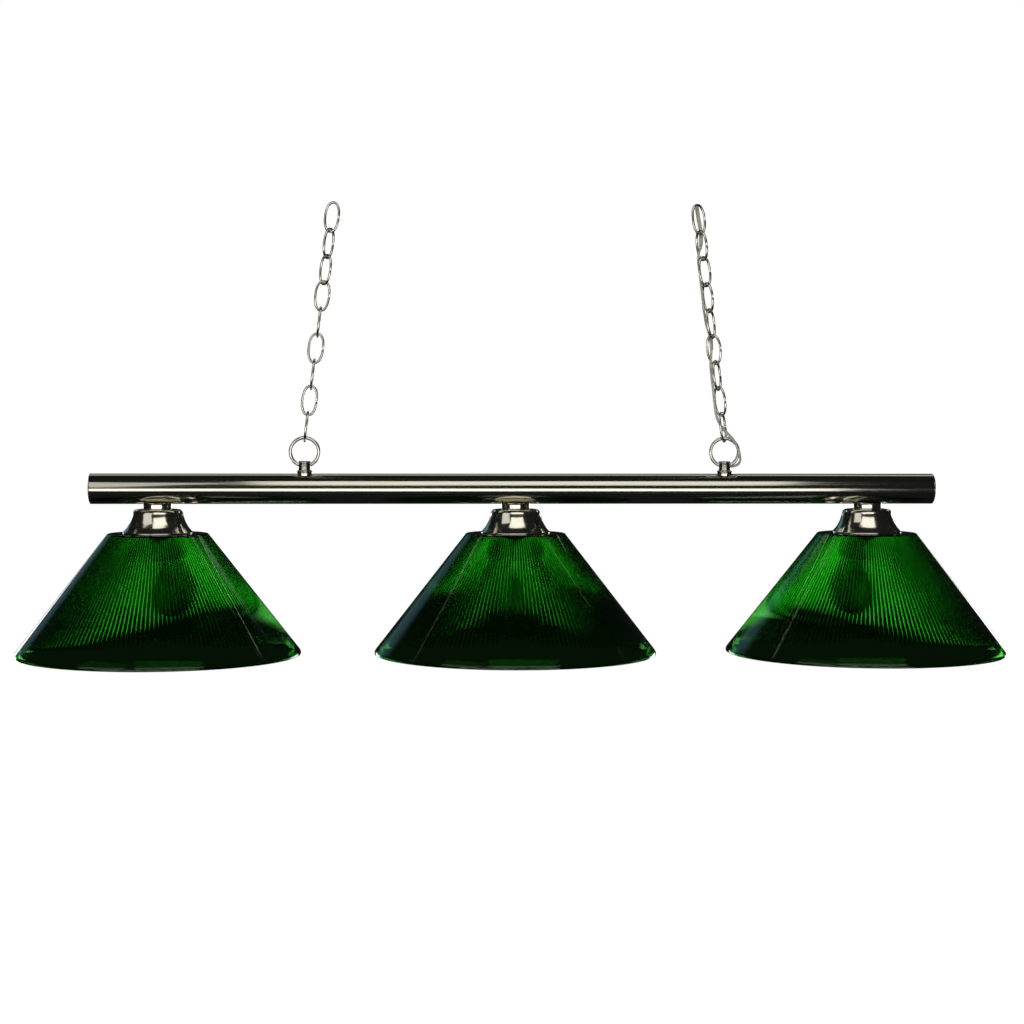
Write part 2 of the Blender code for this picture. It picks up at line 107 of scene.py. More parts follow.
def soft_box(name, at, towards, size, brightness, color):
    """A rectangular light that the camera doesn't see, as bright as the white background at brightness 1."""
    light = bpy.data.lights.new(name, "AREA")
    light.shape = "RECTANGLE"
    light.size, light.size_y = size
    light.energy = brightness * math.pi * size[0] * size[1]
    light.color = color
    lamp = bpy.data.objects.new(name, light)
    bpy.context.scene.collection.objects.link(lamp)
    aim = (Vector(towards) - Vector(at)).to_track_quat("-Z", "Y").to_matrix().to_4x4()
    lamp.matrix_world = Matrix.Translation(Vector((0, 0, AXIS)) + Vector(at)) @ aim
    lamp.visible_camera = False


def world_window(tree, azimuth, elevation, half_width, half_height, color, soften):
    """One soft-edged window in the world: its middle is azimuth degrees round from +Y towards +X, and
    elevation degrees up."""
    mapping = tree.nodes.new("ShaderNodeMapping")
    mapping.vector_type = "TEXTURE"
    mapping.inputs["Rotation"].default_value = (math.radians(elevation), 0, math.radians(-azimuth))
    parts = tree.nodes.new("ShaderNodeSeparateXYZ")
    tree.links.new(tree.nodes["direction"].outputs["Generated"], mapping.inputs["Vector"])
    tree.links.new(mapping.outputs["Vector"], parts.inputs["Vector"])
    light = math_node(tree, "GREATER_THAN", parts.outputs["Y"], 0.0)
    for axis, half in (("X", half_width), ("Z", half_height)):
        slope = math_node(tree, "DIVIDE", parts.outputs[axis], parts.outputs["Y"])
        slope = math_node(tree, "ABSOLUTE", slope)
        edge = tree.nodes.new("ShaderNodeMapRange")
        edge.interpolation_type = "SMOOTHSTEP"
        tree.links.new(slope, edge.inputs["Value"])
        edge.inputs["From Min"].default_value = math.tan(math.radians(half + soften))
        edge.inputs["From Max"].default_value = math.tan(math.radians(half - soften))
        light = math_node(tree, "MULTIPLY", light, edge.outputs["Result"])
    colored = tree.nodes.new("ShaderNodeVectorMath")
    colored.operation = "SCALE"
    colored.inputs[0].default_value = color
    tree.links.new(light, colored.inputs["Scale"])
    return colored.outputs["Vector"]


def math_node(tree, operation, *values):
    node = tree.nodes.new("ShaderNodeMath")
    node.operation = operation
    for socket, value in zip(node.inputs, values):
        if isinstance(value, float):
            socket.default_value = value
        else:
            tree.links.new(value, socket)
    return node.outputs["Value"]


# What lights the lamp from behind. Angles are in degrees, and colours are brightnesses, where 1 is white.
WINDOWS = (
    # azimuth, elevation, half width, half height, colour, softness of the edge
    (-25.0, -9.0, 8.0, 13.0, (3.0, 3.1, 3.1), 2.0),
    (32.0, -9.0, 10.0, 12.0, (3.4, 3.5, 3.5), 2.0),
    (-27.0, 17.0, 9.0, 10.0, (0.09, 0.19, 0.23), 5.0),
    (5.0, 46.0, 32.0, 9.0, (0.6, 0.6, 0.6), 4.0),
)
ROOM = (0.01, 0.011, 0.011)


def build_world():
    """White where the camera sees it; for everything else a dim room with bright windows behind the lamp."""
    world = bpy.data.worlds.new("studio")
    bpy.context.scene.world = world
    world.use_nodes = True
    tree = world.node_tree
    tree.nodes.clear()
    output = tree.nodes.new("ShaderNodeOutputWorld")
    mix = tree.nodes.new("ShaderNodeMixShader")
    path = tree.nodes.new("ShaderNodeLightPath")
    tree.nodes.new("ShaderNodeTexCoord").name = "direction"
    color = None
    for window in WINDOWS:
        total = tree.nodes.new("ShaderNodeVectorMath")
        total.operation = "ADD"
        tree.links.new(world_window(tree, *window), total.inputs[0])
        if color:
            tree.links.new(color, total.inputs[1])
        else:
            total.inputs[1].default_value = ROOM
        color = total.outputs["Vector"]
    room = tree.nodes.new("ShaderNodeBackground")
    tree.links.new(color, room.inputs["Color"])
    white = tree.nodes.new("ShaderNodeBackground")
    white.inputs["Color"].default_value = (1, 1, 1, 1)
    tree.links.new(path.outputs["Is Camera Ray"], mix.inputs["Fac"])
    tree.links.new(room.outputs["Background"], mix.inputs[1])
    tree.links.new(white.outputs["Background"], mix.inputs[2])
    tree.links.new(mix.outputs["Shader"], output.inputs["Surface"])


FLOOR_DROP = 3.0
FLOOR_HALF = 14.0


def build_floor():
    """A floor far below, which glows as white as what is behind it. Only the camera sees it, so it doesn't
    light the lamp or show in the metal."""
    mesh = bpy.data.meshes.new("floor")
    half = FLOOR_HALF
    height = SHADE_BOTTOM - FLOOR_DROP
    corners = [(-half, -half, height), (half, -half, height), (half, half, height), (-half, half, height)]
    mesh.from_pydata(corners, [], [(0, 1, 2, 3)])
    floor = bpy.data.objects.new("floor", mesh)
    bpy.context.scene.collection.objects.link(floor)
    finish = bpy.data.materials.new("pale_floor")
    finish.use_nodes = True
    shader = finish.node_tree.nodes["Principled BSDF"]
    shader.inputs["Base Color"].default_value = (0.8, 0.8, 0.8, 1)
    shader.inputs["Roughness"].default_value = 0.9
    shader.inputs["Emission Color"].default_value = (1, 1, 1, 1)
    shader.inputs["Emission Strength"].default_value = 1.0
    mesh.materials.append(finish)
    floor.visible_glossy = False
    floor.visible_transmission = False
    floor.visible_diffuse = False


def build_studio():
    build_world()
    build_floor()
    for box in SOFT_BOXES:
        soft_box(*box)
    bpy.context.scene.view_settings.view_transform = "Standard"


# ---------------------------------------------------------------- materials


class Finish:
    """A Principled material with short calls for the procedural nodes that drive it."""

    def __init__(self, name, color, roughness, metallic=0.0, **inputs):
        self.material = bpy.data.materials.new(name)
        self.material.use_nodes = True
        self.tree = self.material.node_tree
        self.shader = self.tree.nodes["Principled BSDF"]
        self.shader.inputs["Base Color"].default_value = (*color, 1)
        self.shader.inputs["Roughness"].default_value = roughness
        self.shader.inputs["Metallic"].default_value = metallic
        for key, value in inputs.items():
            self.shader.inputs[key.replace("_", " ")].default_value = value
        self.place = self.tree.nodes.new("ShaderNodeTexCoord").outputs["Object"]

    def noise(self, stretch, detail=4.0, rough=0.6, distortion=0.0):
        """Noise whose grain is given per axis, in cycles a metre."""
        mapping = self.tree.nodes.new("ShaderNodeMapping")
        mapping.inputs["Scale"].default_value = stretch
        self.tree.links.new(self.place, mapping.inputs["Vector"])
        noise = self.tree.nodes.new("ShaderNodeTexNoise")
        noise.inputs["Scale"].default_value = 1.0
        noise.inputs["Detail"].default_value = detail
        noise.inputs["Roughness"].default_value = rough
        noise.inputs["Distortion"].default_value = distortion
        self.tree.links.new(mapping.outputs["Vector"], noise.inputs["Vector"])
        return noise.outputs["Fac"]

    def ramp(self, value, low, high, from_low=0.3, from_high=0.7):
        """The stretch of value from from_low to from_high, spread over low to high and cut off beyond."""
        node = self.tree.nodes.new("ShaderNodeMapRange")
        node.inputs["From Min"].default_value = from_low
        node.inputs["From Max"].default_value = from_high
        node.inputs["To Min"].default_value = low
        node.inputs["To Max"].default_value = high
        self.tree.links.new(value, node.inputs["Value"])
        return node.outputs["Result"]

    def mix_color(self, value, first, second):
        node = self.tree.nodes.new("ShaderNodeMix")
        node.data_type = "RGBA"
        node.inputs["A"].default_value = (*first, 1)
        node.inputs["B"].default_value = (*second, 1)
        self.tree.links.new(value, node.inputs["Factor"])
        return node.outputs["Result"]

    def set(self, key, output):
        self.tree.links.new(output, self.shader.inputs[key])

    def bump(self, height, distance, strength=1.0):
        node = self.tree.nodes.new("ShaderNodeBump")
        node.inputs["Distance"].default_value = distance
        node.inputs["Strength"].default_value = strength
        self.tree.links.new(height, node.inputs["Height"])
        self.tree.links.new(node.outputs["Normal"], self.shader.inputs["Normal"])


PALE_NICKEL = (0.66, 0.635, 0.545)
DULL_NICKEL = (0.575, 0.56, 0.49)


def nickel(name, grain, roughness, painted_brightness=1.0):
    """Satin nickel plate. grain is how fine the brushing is along each axis, in cycles a metre. The last
    argument scales the plate's colour up: painted brightness, which makes lighter copies of the same plate
    than the tube's.
    """
    finish = Finish(name, (0.62, 0.6, 0.52), roughness, 1.0)
    lines = finish.noise(grain, detail=3.0)
    clouds = finish.noise((18, 18, 18), detail=5.0, distortion=0.4)
    finish.set("Roughness", finish.ramp(lines, roughness - 0.05, roughness + 0.07))
    # Scaling by the last argument is painted brightness: lighter copies of one nickel for parts meant to look
    # more brightly lit.
    pale = [painted_brightness * part for part in PALE_NICKEL]
    dull = [painted_brightness * part for part in DULL_NICKEL]
    finish.set("Base Color", finish.mix_color(clouds, pale, dull))
    finish.bump(lines, 0.006 * MM, 0.5)
    return finish.material


def green_acrylic():
    """Clear bottle-green acrylic, which darkens with the thickness of what one looks through."""
    finish = Finish("green_acrylic", (0.45, 0.85, 0.42), 0.01, IOR=1.49, Transmission_Weight=1.0)
    haze = finish.noise((9, 9, 9), detail=6.0, distortion=0.6)
    dust = finish.noise((900, 900, 900), detail=2.0)
    finish.set("Base Color", finish.mix_color(haze, (0.48, 0.88, 0.45), (0.4, 0.8, 0.38)))
    finish.set("Roughness", finish.ramp(dust, 0.0, 0.02, 0.5, 0.75))
    body = finish.tree.nodes.new("ShaderNodeVolumeAbsorption")
    body.inputs["Color"].default_value = (0.11, 0.73, 0.05, 1)
    body.inputs["Density"].default_value = 600.0
    finish.tree.links.new(body.outputs["Volume"], finish.tree.nodes["Material Output"].inputs["Volume"])
    return finish.material


def phenolic():
    """Black moulded phenolic, faintly mottled."""
    finish = Finish("black_phenolic", (0.02, 0.02, 0.021), 0.36)
    mottle = finish.noise((160, 160, 160), detail=6.0)
    finish.set("Base Color", finish.mix_color(mottle, (0.012, 0.012, 0.013), (0.034, 0.033, 0.032)))
    finish.set("Roughness", finish.ramp(mottle, 0.28, 0.46))
    finish.bump(mottle, 0.03 * MM, 0.4)
    return finish.material


def frosted_glass():
    """The bulbs' etched glass."""
    finish = Finish("frosted_glass", (0.95, 0.945, 0.92), 0.4, IOR=1.5, Transmission_Weight=0.55)
    frost = finish.noise((700, 700, 700), detail=3.0)
    finish.set("Roughness", finish.ramp(frost, 0.3, 0.5))
    finish.set("Base Color", finish.mix_color(frost, (0.96, 0.955, 0.93), (0.9, 0.9, 0.88)))
    return finish.material


def plated(name, first, second, roughness, pitch):
    """A plain metal with soft stains, for what is turned, rolled or plated."""
    finish = Finish(name, first, roughness, 1.0)
    stains = finish.noise((pitch, pitch, pitch), detail=6.0, distortion=0.8)
    finish.set("Base Color", finish.mix_color(stains, first, second))
    finish.set("Roughness", finish.ramp(stains, roughness - 0.08, roughness + 0.12))
    return finish.material


def clear_cord():
    """Clear insulation over bright strands, seen as a pale sheath with a twisted grain in it."""
    finish = Finish("clear_cord", (0.8, 0.79, 0.7), 0.16, IOR=1.5, Coat_Weight=0.6)
    strands = finish.noise((2600, 2600, 420), detail=2.0, distortion=1.5)
    finish.set("Base Color", finish.mix_color(strands, (0.9, 0.89, 0.82), (0.62, 0.6, 0.5)))
    finish.set("Roughness", finish.ramp(strands, 0.1, 0.26))
    finish.bump(strands, 0.05 * MM, 0.5)
    return finish.material


def insulation():
    """The black plastic of the leads and the wire nuts."""
    finish = Finish("lead_insulation", (0.05, 0.05, 0.05), 0.5)
    grain = finish.noise((300, 300, 300), detail=4.0)
    finish.set("Base Color", finish.mix_color(grain, (0.035, 0.035, 0.036), (0.07, 0.068, 0.066)))
    finish.set("Roughness", finish.ramp(grain, 0.4, 0.6))
    return finish.material


# ---------------------------------------------------------------- mesh helpers


SHARP_ANGLE = 30


def shade_smooth(mesh, sharp=SHARP_ANGLE):
    """Smooth shading, with the edges that turn by more than sharp degrees left sharp."""
    mesh.shade_smooth()
    mesh.set_sharp_from_angle(angle=math.radians(sharp))


def add_piece(name, mesh, finish, body, node, sharp=SHARP_ANGLE):
    """A finished piece in place of a CAD node. A cord is attached to no body."""
    mesh.materials.clear()
    mesh.materials.append(finish)
    shade_smooth(mesh, sharp)
    piece = bpy.data.objects.new(name, mesh)
    bpy.context.scene.collection.objects.link(piece)
    if body:
        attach(piece, body)
    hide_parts(node)
    return piece


def rounded(outline, radius, steps=3):
    """An outline with each corner between its first and last points replaced by a small curve."""
    points = [Vector(p) for p in outline]
    result = [points[0]]
    share = 0.45  # of a side that one curve may take, so that two never meet
    for before, corner, after in zip(points, points[1:], points[2:]):
        reach = min(radius, (before - corner).length * share, (after - corner).length * share)
        start = corner + (before - corner).normalized() * reach
        end = corner + (after - corner).normalized() * reach
        for i in range(steps + 1):
            t = i / steps
            result.append(start * (1 - t) ** 2 + corner * 2 * t * (1 - t) + end * t**2)
    return result + [points[-1]]


def rounded_loop(outline, radius, steps=3):
    """A closed outline, with every corner but its first one rounded."""
    return rounded([*outline, outline[0]], radius, steps)[:-1]


ON_AXIS = 1e-7


def lathe(name, outline, segments, turn=None, at=(0, 0, 0), wave=None):
    """A mesh spun about Z from (radius, height) points in metres. An outline that starts on the axis ends
    there, and any other is a loop. wave(i, index), where it is given, is added to the radius of the outline's
    point number index at step i of the turn."""
    verts, rings = [], []
    for index, (radius, height) in enumerate(outline):
        if radius < ON_AXIS:
            rings.append([len(verts)] * segments)
            verts.append(Vector((0, 0, height)))
            continue
        rings.append(range(len(verts), len(verts) + segments))
        for i in range(segments):
            angle = math.tau * i / segments
            out = radius + (wave(i, index) if wave else 0)
            verts.append(Vector((out * math.cos(angle), out * math.sin(angle), height)))
    faces = []
    pairs = list(zip(rings, rings[1:]))
    if outline[0][0] > ON_AXIS:
        pairs.append((rings[-1], rings[0]))
    for low, high in pairs:
        for i in range(segments):
            j = (i + 1) % segments
            face = [low[i], low[j], high[j], high[i]]
            faces.append([v for k, v in enumerate(face) if v not in face[:k]])
    mesh = bpy.data.meshes.new(name)
    place = Matrix.Translation(at) @ (turn or Matrix.Identity(4))
    mesh.from_pydata([place @ v for v in verts], [], faces)
    bm = bmesh.new()
    bm.from_mesh(mesh)
    if bm.calc_volume(signed=True) < 0:
        bmesh.ops.reverse_faces(bm, faces=bm.faces)
        bm.to_mesh(mesh)
    bm.free()
    return mesh


def tube_along(name, points, section):
    """A mesh swept along points, with closed ends. section(i) gives the outline's offsets from point i."""
    verts, faces = [], []
    count = len(section(0))
    for i, point in enumerate(points):
        verts.extend(point + offset for offset in section(i))
    last = (len(points) - 1) * count
    for a in range(0, last, count):
        b = a + count
        faces.extend((a + j, a + (j + 1) % count, b + (j + 1) % count, b + j) for j in range(count))
    faces.append(tuple(reversed(range(count))))
    faces.append(tuple(range(last, last + count)))
    mesh = bpy.data.meshes.new(name)
    mesh.from_pydata(verts, [], faces)
    bm = bmesh.new()
    bm.from_mesh(mesh)
    bmesh.ops.recalc_face_normals(bm, faces=bm.faces)
    if bm.calc_volume(signed=True) < 0:
        bmesh.ops.reverse_faces(bm, faces=bm.faces)
    bm.to_mesh(mesh)
    bm.free()
    return mesh


def millimetres(outline):
    """An outline in metres from one in millimetres."""
    return [(r * MM, z * MM) for r, z in outline]


def apply_boolean(piece, operation, mesh):
    """Joins a mesh to a piece, or cuts it out."""
    helper = bpy.data.objects.new("helper", mesh)
    bpy.context.scene.collection.objects.link(helper)
    modifier = piece.modifiers.new("cut", "BOOLEAN")
    modifier.operation = operation
    modifier.object = helper
    graph = bpy.context.evaluated_depsgraph_get()
    result = bpy.data.meshes.new_from_object(piece.evaluated_get(graph))
    piece.modifiers.clear()
    piece.data = result
    bpy.data.objects.remove(helper)


ALONG_X = Matrix.Rotation(math.pi / 2, 4, "Y")
SEAT_GAP = 0.15 * MM
SEAT_HALF = 30 * MM


def cut_seat(piece, at):
    """The hollow that fits round the tube, with a hair of room."""
    radius = TUBE_RADIUS + SEAT_GAP
    seat = [(0, -SEAT_HALF), (radius, -SEAT_HALF), (radius, SEAT_HALF), (0, SEAT_HALF)]
    apply_boolean(piece, "DIFFERENCE", lathe("seat", seat, 192, ALONG_X, at))


# ---------------------------------------------------------------- supply cord

# The cord's route, as in the CAD, in millimetres. By the hanger's ring a point is how far right of the hanger
# it is, how far behind it, and how far above the tube's axis. On the chain it is how far up the right chain
# from its lowest wire, how far right of the chain's middle, and how far behind it.
CORD_BY_RING = (
    (5.9, 1.9, 27.9), (10.2, 3.2, 28.1), (15.2, 2.8, 29.4), (18.9, 0.0, 32.8), (19.6, -3.8, 38.8),
    (17.6, -5.4, 46.8), (14.0, -5.4, 55.6), (8.4, -5.0, 64.0),
)
CORD_ON_CHAIN_LOW = ((17.0, -0.6, 0.0), (26.0, -5.0, -0.8), (34.65, -6.8, 0.0))
CORD_ON_CHAIN = (
    (51.0, -7.2, 0.0), (67.5, -6.9, 0.0), (84.0, -7.0, -0.4), (100.4, -6.6, -1.6), (116.9, -2.8, 1.6),
    (133.3, -1.6, 6.7), (149.8, -4.6, 5.2), (166.2, -6.9, 0.4), (182.7, -6.8, -0.4), (199.1, -6.6, 1.2),
    (215.6, -6.2, 2.0), (232.0, -6.4, 1.3),
)
CORD_THROUGH_LINK_8 = (248.5, -1.2, 1.8)
CORD_ON_CHAIN_TOP = ((265.0, 1.6, 6.6), (281.4, 0.9, 7.0), (299.0, 0.2, 7.2))
LEAN = math.radians(7.1)
CHAIN_FOOT = 59.85  # the lowest link's lowest wire, above the tube's axis
LINK_PITCH = 32.9
LINK_HALF_LENGTH = 18.2
LINK_HALF_WIDTH = 8.9
LINK_WIRE_RADIUS = 1.6
CORD_HALF_WIDTH = 2.5 * MM
CORD_LOBE_RADIUS = 1.45 * MM
CORD_LOBE_ARC = 152  # degrees of each lobe that show, the rest being in the web between them
CORD_LOBE_STEPS = 10


def chain_point(side, along, right=0.0, back=0.0):
    """A place on a chain, in metres, from millimetres up it, right of its middle and behind it."""
    up = Vector((-SIDES[side] * math.sin(LEAN), 0, math.cos(LEAN)))
    across = Vector((up.z, 0, -up.x))
    foot = Vector((HANGERS[side], 0, AXIS + CHAIN_FOOT * MM))
    return foot + (along * up + right * across + back * Vector((0, 1, 0))) * MM


def smooth_route(points, pieces=6):
    """A finer row of points on a smooth curve through the route's own points."""
    ends = [2 * points[0] - points[1], *points, 2 * points[-1] - points[-2]]
    route = [points[0]]
    for a, b, c, d in zip(ends, ends[1:], ends[2:], ends[3:]):
        for i in range(1, pieces + 1):
            t = i / pieces
            bend = (2 * a - 5 * b + 4 * c - d) * t**2 + (3 * b - a - 3 * c + d) * t**3
            route.append(b + 0.5 * ((c - a) * t + bend))
    return route


def cord_section(route, aside):
    """The twin-core outline, two round lobes side by side, turned so that its width follows aside(i)."""
    core = CORD_HALF_WIDTH - CORD_LOBE_RADIUS

    def section(i):
        along = (route[min(i + 1, len(route) - 1)] - route[max(i - 1, 0)]).normalized()
        width = aside(route[i])
        width = (width - along * width.dot(along)).normalized()
        depth = along.cross(width)
        offsets = []
        for sign in (1, -1):
            for k in range(CORD_LOBE_STEPS + 1):
                angle = math.radians(-CORD_LOBE_ARC / 2 + CORD_LOBE_ARC * k / CORD_LOBE_STEPS)
                x = core + CORD_LOBE_RADIUS * math.cos(angle)
                y = CORD_LOBE_RADIUS * math.sin(angle)
                offsets.append(sign * (x * width + y * depth))
        return offsets

    return section


def build_cord():
    """One flat cord in three lengths, which meet where the chain's hinges part it."""
    ring = [Vector((HANGERS["right"], 0, AXIS)) + Vector(point) * MM for point in CORD_BY_RING]
    low = [chain_point("right", *point) for point in CORD_ON_CHAIN_LOW]
    middle = [chain_point("right", *point) for point in CORD_ON_CHAIN]
    cut = chain_point("right", *CORD_THROUGH_LINK_8)
    high = [chain_point("right", *point) for point in CORD_ON_CHAIN_TOP]
    route = smooth_route([*ring, *low, *middle, cut, *high])
    first = min(range(len(route)), key=lambda i: (route[i] - low[-1]).length)
    second = min(range(len(route)), key=lambda i: (route[i] - cut).length)
    foot = chain_point("right", 0)
    chain_axis = (chain_point("right", 100) - foot).normalized()
    front = Vector((0.35, -1, 0))
    near = 2 * MM

    def across(point):
        """Across the line from the chain's middle to the cord, so that the cord lies flat on the links. Where
        the cord is near the middle, it faces the front instead."""
        outward = point - foot
        outward = outward - chain_axis * outward.dot(chain_axis)
        return chain_axis.cross(outward if outward.length > near else front).normalized()

    finish = clear_cord()
    hinges = [joint for joint in frame["joints"] if joint["type"] == "hinge"]
    pivot = {joint["name"]: Vector(joint["pos_m"]) for joint in hinges}
    lower, upper, top = route[: first + 1], route[first : second + 1], route[second:]
    lengths = (
        # node, points, bodies above and below the hinge, the hinge, how far above and below it they blend
        ("supply_cord_lower", lower, ("right_link_1", "lamp"), pivot["lamp_tilt"], 12, 22),
        ("supply_cord_upper", upper, ("upper_links", "right_chain"), pivot["right_sway"], 14, 14),
        ("supply_cord_top", top, ("ceiling_links", "upper_links"), pivot["chain_swing"], 14, 14),
    )
    for name, points, bodies, hinge, above, below in lengths:
        mesh = tube_along(name, points, cord_section(points, across))
        cord = add_piece("flat_" + name, mesh, finish, None, name)
        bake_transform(cord)


# ---------------------------------------------------------------- chains

# How far each link is turned about the line of its chain, in degrees, from the lowest link up.
LINK_TURNS = {
    "left": (90, 0, 90, 0, 90, 19, -45, 54, -19),
    "right": (62, -53, 55, -31, 54, -58, 35, -56, 27),
}
LINK_BODIES = {
    side: [f"{side}_link_1"] + [f"{side}_chain"] * 6 + ["upper_links", "ceiling_links"] for side in SIDES
}
LINK_STEPS = 72
WIRE_SIDES = 14
WIRE_CHAMFER = 0.35
SEAM_HALF = 0.2
OVAL_POWER = 2.25  # 2 is an ellipse, and more is squarer


def link_mesh(name, place):
    """One link: a wire bent to an oval, whose ends meet at a butt seam halfway up one side."""
    steps = LINK_STEPS
    seam = SEAM_HALF / LINK_HALF_LENGTH
    power = 2 / OVAL_POWER
    points = []
    for i in range(steps + 1):
        angle = math.pi / 2 + seam + (math.tau - 2 * seam) * i / steps
        s, c = math.sin(angle), math.cos(angle)
        x = math.copysign(abs(s) ** power, s) * LINK_HALF_WIDTH
        z = math.copysign(abs(c) ** power, c) * LINK_HALF_LENGTH
        points.append(Vector((x, 0, z)) * MM)

    def section(i):
        along = (points[min(i + 1, steps)] - points[max(i - 1, 0)]).normalized()
        flat = Vector((0, 1, 0))
        across = flat.cross(along)
        radius = (LINK_WIRE_RADIUS - (WIRE_CHAMFER if i in (0, steps) else 0)) * MM
        angles = [math.tau * k / WIRE_SIDES for k in range(WIRE_SIDES)]
        return [radius * (math.cos(a) * across + math.sin(a) * flat) for a in angles]

    mesh = tube_along(name, points, section)
    mesh.transform(place)
    return mesh


def build_links():
    # The chain wire's nickel is painted 1.35 times lighter than the tube's: painted brightness, to look more
    # brightly lit.
    finish = nickel("nickel_wire", (300, 300, 300), 0.2, 1.35)
    for side, turns in LINK_TURNS.items():
        lean = Matrix.Rotation(-SIDES[side] * LEAN, 4, "Y")
        for index, turn in enumerate(turns):
            centre = chain_point(side, index * LINK_PITCH + LINK_HALF_LENGTH)
            place = Matrix.Translation(centre) @ lean @ Matrix.Rotation(math.radians(turn), 4, "Z")
            node = f"{side}_link_{index + 1}"
            body = LINK_BODIES[side][index]
            add_piece(f"wire_{node}", link_mesh(node, place), finish, body, node)


# ---------------------------------------------------------------- tube, caps and hanger loops


TUBE_WALL = 1.2 * MM
CAP_PLUG_RADIUS = 17.4 * MM
CAP_PLUG_BORE = 16.2 * MM
CAP_PLUG_DEPTH = 8 * MM
CAP_SEAM = 0.12 * MM
CAP_FLOOR = 0.2 * MM


def build_tube(finish):
    half = TUBE_HALF
    bore = TUBE_RADIUS - TUBE_WALL
    wall = rounded_loop([(bore, -half), (TUBE_RADIUS, -half), (TUBE_RADIUS, half), (bore, half)], 0.3 * MM, 2)
    mesh = lathe("tube", wall, 128, ALONG_X, (0, 0, AXIS))
    add_piece("brushed_tube", mesh, finish, "lamp", "bar_tube")


def build_end_caps(finish):
    """Pressed caps: a slightly domed face with a rolled edge, a seam where it meets the tube, and a hollow
    plug inside the tube."""
    reach = CAP_END - TUBE_HALF
    outline = [
        (0, reach),
        (TUBE_RADIUS * 0.5, reach - 0.12 * MM),
        (TUBE_RADIUS - 2.3 * MM, reach - 0.6 * MM),
        (TUBE_RADIUS - 0.6 * MM, reach - 1.3 * MM),
        (TUBE_RADIUS, reach - 2.2 * MM),
        (TUBE_RADIUS, 0.35 * MM),
        (TUBE_RADIUS - 0.5 * MM, CAP_SEAM),
        (CAP_PLUG_RADIUS, CAP_SEAM),
        (CAP_PLUG_RADIUS, -CAP_PLUG_DEPTH),
        (CAP_PLUG_BORE, -CAP_PLUG_DEPTH),
        (CAP_PLUG_BORE, CAP_FLOOR),
        (0, CAP_FLOOR),
    ]
    for side, sign in SIDES.items():
        turn = Matrix.Rotation(sign * math.pi / 2, 4, "Y")
        mesh = lathe("cap", rounded(outline, 0.7 * MM), 96, turn, (sign * TUBE_HALF, 0, AXIS))
        add_piece(f"domed_{side}_cap", mesh, finish, "lamp", f"{side}_end_cap", sharp=50)


# Heights in what follows are above the tube's axis.
NIPPLE_HOLE = 5.4  # millimetres, the radius of the hole for a nipple
LOOP_HOLE_TOP = 30
RING_RADIUS = 17.7 * MM
RING_WIRE_RADIUS = 2.15 * MM
RING_HEIGHT = 46.2 * MM
WIREWAY_RADIUS = 2.9 * MM
WIREWAY_LENGTH = 20 * MM
WIREWAY_HEIGHT = 27.9 * MM
WIREWAY_AIM = (0.95, 0.31, 0)


def build_hanger_loop(side, finish):
    """The cast loop: a round-section ring let into a turned neck, on a bead that saddles the tube. A hole in
    the neck lets the supply cord out."""
    at = Vector((HANGERS[side], 0, AXIS))
    neck = millimetres([
        (NIPPLE_HOLE, 12), (9.8, 12), (9.8, 21.6), (9.0, 22.7), (8.1, 23.0), (7.75, 23.8), (7.75, 33.6),
        (6.9, 34.7), (0, 34.7),
    ])
    outline = millimetres([(0, LOOP_HOLE_TOP), (NIPPLE_HOLE, LOOP_HOLE_TOP)]) + rounded(neck, 0.5 * MM)
    mesh = lathe("neck", outline, 72, at=at)
    piece = add_piece(f"cast_{side}_loop", mesh, finish, "lamp", f"{side}_hanger_loop", sharp=40)
    angles = [math.tau * k / 20 for k in range(20)]
    ring = [(RING_RADIUS + RING_WIRE_RADIUS * math.cos(a), RING_WIRE_RADIUS * math.sin(a)) for a in angles]
    upright = Matrix.Rotation(math.pi / 2, 4, "X")
    apply_boolean(piece, "UNION", lathe("ring", ring, 96, upright, at + Vector((0, 0, RING_HEIGHT))))
    top = LOOP_HOLE_TOP - 0.1
    bore = millimetres([(0, -20), (NIPPLE_HOLE, -20), (NIPPLE_HOLE, top), (0, top)])
    apply_boolean(piece, "DIFFERENCE", lathe("bore", bore, 48, at=at))
    cut_seat(piece, at)
    wireway = [(0, 0), (WIREWAY_RADIUS, 0), (WIREWAY_RADIUS, WIREWAY_LENGTH), (0, WIREWAY_LENGTH)]
    aim = Vector(WIREWAY_AIM).to_track_quat("Z", "Y").to_matrix().to_4x4()
    mouth = at + Vector((0, 0, WIREWAY_HEIGHT))
    apply_boolean(piece, "DIFFERENCE", lathe("wireway", wireway, 32, aim, mouth))
    shade_smooth(piece.data)


# ---------------------------------------------------------------- lights


def build_collar(light, finish):
    """A turned spacer between the tube and the bell."""
    at = Vector((LIGHTS[light], 0, AXIS))
    outline = millimetres([(NIPPLE_HOLE, -17.5), (NIPPLE_HOLE, -25), (18.4, -25), (18.4, -17.5)])
    mesh = lathe("collar", rounded_loop(outline, 0.7 * MM), 96, at=at)
    piece = add_piece(f"turned_{light}_collar", mesh, finish, "lamp", f"{light}_collar")
    cut_seat(piece, at)
    shade_smooth(piece.data)


def bell_outline():
    """The spun bell: a flat top, a round shoulder and a flare to a small turned-down foot."""
    outer = [
        (NIPPLE_HOLE, -25.3), (22.0, -25.3), (28.5, -26.0), (31.0, -29.2), (32.1, -34.5), (34.6, -41.8),
        (38.4, -48.6), (42.2, -53.0), (43.5, -54.4), (43.5, -55.6),
    ]
    inner = [
        (42.5, -55.6), (42.4, -54.8), (41.2, -53.4), (37.5, -49.1), (33.6, -42.2), (31.1, -34.8),
        (30.0, -29.6), (27.8, -27.0), (22.0, -26.4), (NIPPLE_HOLE, -26.4),
    ]
    return rounded(millimetres(outer + inner), 2.2 * MM, 4)


